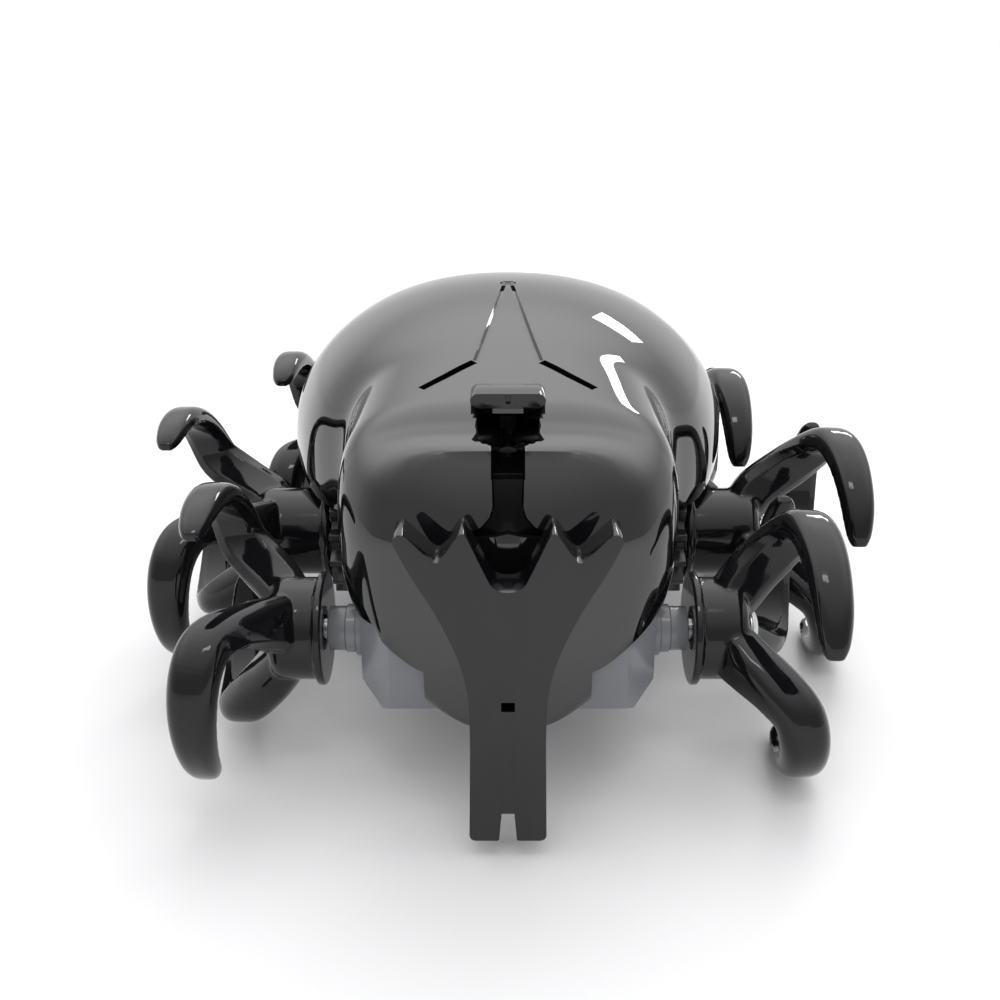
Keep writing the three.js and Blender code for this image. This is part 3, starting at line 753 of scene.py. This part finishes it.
def make_collars():
    """Stepped collars on the sleeves that carry the front and rear axles."""
    for side, sign in SIDES.items():
        for station in ("front", "rear"):
            profile = [(sign * x, r) for x, r in COLLAR][::sign]
            collar = turned(f"{side}_{station}_collar", profile, (STATIONS[station], 0), 56)
            shade(collar, 40)
            dress(collar, "chassis_grey", "frame")


def make_chassis():
    refined("chassis_tub", "chassis_grey", "frame", 0.22, segments=3)
    refined("motor_deck", "chassis_grey", "frame", 0.15)
    refined("battery_door", "chassis_grey", "frame", 0.18)
    refined("power_switch", "switch_red", "switch_slider", 0.15)
    refined("battery", "cell_wrap", "frame", 0.8, segments=4)
    refined("circuit_board", "board_green", "frame", 0.08)
    make_collars()
    for node in ("door_screw", *[f"shell_screw_{k}" for k in (1, 2, 3, 4)]):
        refined(node, "steel", "frame", 0.1)


def make_works():
    for side in SIDES:
        refined(f"{side}_gearmotor", "steel", "frame", 0.15)
        refined(f"{side}_pinion", "gear_black", f"{side}_pinion_body", 0.08)
        refined(f"{side}_drive_gear", "gear_black", f"{side}_mid_rotor", 0.1)
        for station in STATIONS:
            refined(f"{side}_{station}_gear", "gear_white", f"{side}_{station}_rotor", 0.08)
            refined(f"{side}_{station}_axle", "steel", f"{side}_{station}_rotor", 0.12)
        for way in ("front", "rear"):
            refined(f"{side}_{way}_idler", "gear_white", f"{side}_{way}_idler_body", 0.08)


# ---------------------------------------------------------------- stage
SKY_HORIZON, SKY_TOP = 1.05, 2.4  # brightness in reflections, level with the robot and overhead
SKY_FRONT = 0.46  # share of that left towards the camera
SKY_FILL = 1.12  # brightness as soft fill light
FLOOR_HALF = 3000


def make_floor():
    corners = [(-1, -1), (1, -1), (1, 1), (-1, 1)]
    floor = solid("floor", [(FLOOR_HALF * x, FLOOR_HALF * y, -AXLE_Z) for x, y in corners], [(0, 1, 2, 3)])
    material = bpy.data.materials.new("pale_floor")
    material.use_nodes = True
    shader = material.node_tree.nodes["Principled BSDF"]
    shader.inputs["Base Color"].default_value = (0.83, 0.83, 0.84, 1)
    shader.inputs["Roughness"].default_value = 0.55
    shader.inputs["Specular IOR Level"].default_value = 0.25
    floor.data.materials.append(material)


def make_world():
    """A white studio: plain white behind, and in reflections a sky that is brighter overhead and behind."""
    world = bpy.data.worlds.new("studio")
    bpy.context.scene.world = world
    world.use_nodes = True
    nodes, links = world.node_tree.nodes, world.node_tree.links
    background = nodes["Background"]
    background.inputs["Color"].default_value = (1.0, 1.0, 1.0, 1)
    direction = nodes.new("ShaderNodeSeparateXYZ")
    links.new(nodes.new("ShaderNodeTexCoord").outputs["Generated"], direction.inputs[0])

    def ramp(value, start, end, low, high):
        step = nodes.new("ShaderNodeMapRange")
        step.interpolation_type = "SMOOTHSTEP"
        step.inputs["From Min"].default_value = start
        step.inputs["From Max"].default_value = end
        step.inputs["To Min"].default_value = low
        step.inputs["To Max"].default_value = high
        links.new(value, step.inputs["Value"])
        return step.outputs["Result"]

    def combine(operation, first, second):
        step = nodes.new("ShaderNodeMath")
        step.operation = operation
        for socket, value in zip(step.inputs, (first, second)):
            if isinstance(value, (int, float)):
                socket.default_value = value
            else:
                links.new(value, socket)
        return step.outputs[0]

    overhead = ramp(direction.outputs["Z"], 0.3, 0.8, SKY_HORIZON, SKY_TOP)
    behind = ramp(direction.outputs["Y"], -0.8, 0.3, SKY_FRONT, 1.0)
    reflected = combine("MULTIPLY", overhead, behind)
    path = nodes.new("ShaderNodeLightPath")
    filled = combine("MAXIMUM", path.outputs["Is Camera Ray"], SKY_FILL)
    strength = nodes.new("ShaderNodeMix")
    links.new(path.outputs["Is Glossy Ray"], strength.inputs["Factor"])
    links.new(filled, strength.inputs["A"])
    links.new(reflected, strength.inputs["B"])
    links.new(strength.outputs["Result"], background.inputs["Strength"])


def area_light(name, azimuth, elevation, reach, size, radiance, glossy=True):
    """A softbox facing the robot; azimuth is from +Y towards +X in degrees, lengths are in metres."""
    data = bpy.data.lights.new(name, "AREA")
    data.shape = "RECTANGLE"
    data.size, data.size_y = size
    data.energy = radiance * math.pi * size[0] * size[1]
    light = bpy.data.objects.new(name, data)
    bpy.context.scene.collection.objects.link(light)
    around, up = math.radians(azimuth), math.radians(elevation)
    away = Vector((math.sin(around) * math.cos(up), math.cos(around) * math.cos(up), math.sin(up)))
    light.location = away * reach + Vector((0, 0, 0.03))
    light.rotation_euler = away.to_track_quat("Z", "Y").to_euler()
    light.visible_glossy = glossy
    return light


def make_lights():
    area_light("overhead", 10, 60, 0.7, (0.45, 0.45), 2.2, glossy=False)
    area_light("strip", 23.5, 24.5, 0.6, (0.15, 0.06), 12.0)
    area_light("front_box", 180, 64, 0.5, (0.2, 0.05), 7.0)


def make_camera():
    data = bpy.data.cameras.new("camera")
    data.sensor_width = 36
    data.angle = math.radians(45)
    data.shift_x = -0.008
    data.clip_start = 0.01
    camera = bpy.data.objects.new("camera", data)
    bpy.context.scene.collection.objects.link(camera)
    camera.location = to_world([[0, -141.2, 62.4]])[0]
    camera.rotation_euler = (math.radians(90 - 22.4), 0, 0)
    bpy.context.scene.camera = camera


make_camera()
make_world()
make_lights()
make_floor()
make_shell()
make_apex_stud()
make_window()
make_brow_cap()
make_horn()
make_legs()
make_chassis()
make_works()
bpy.context.scene.view_settings.view_transform = "Standard"
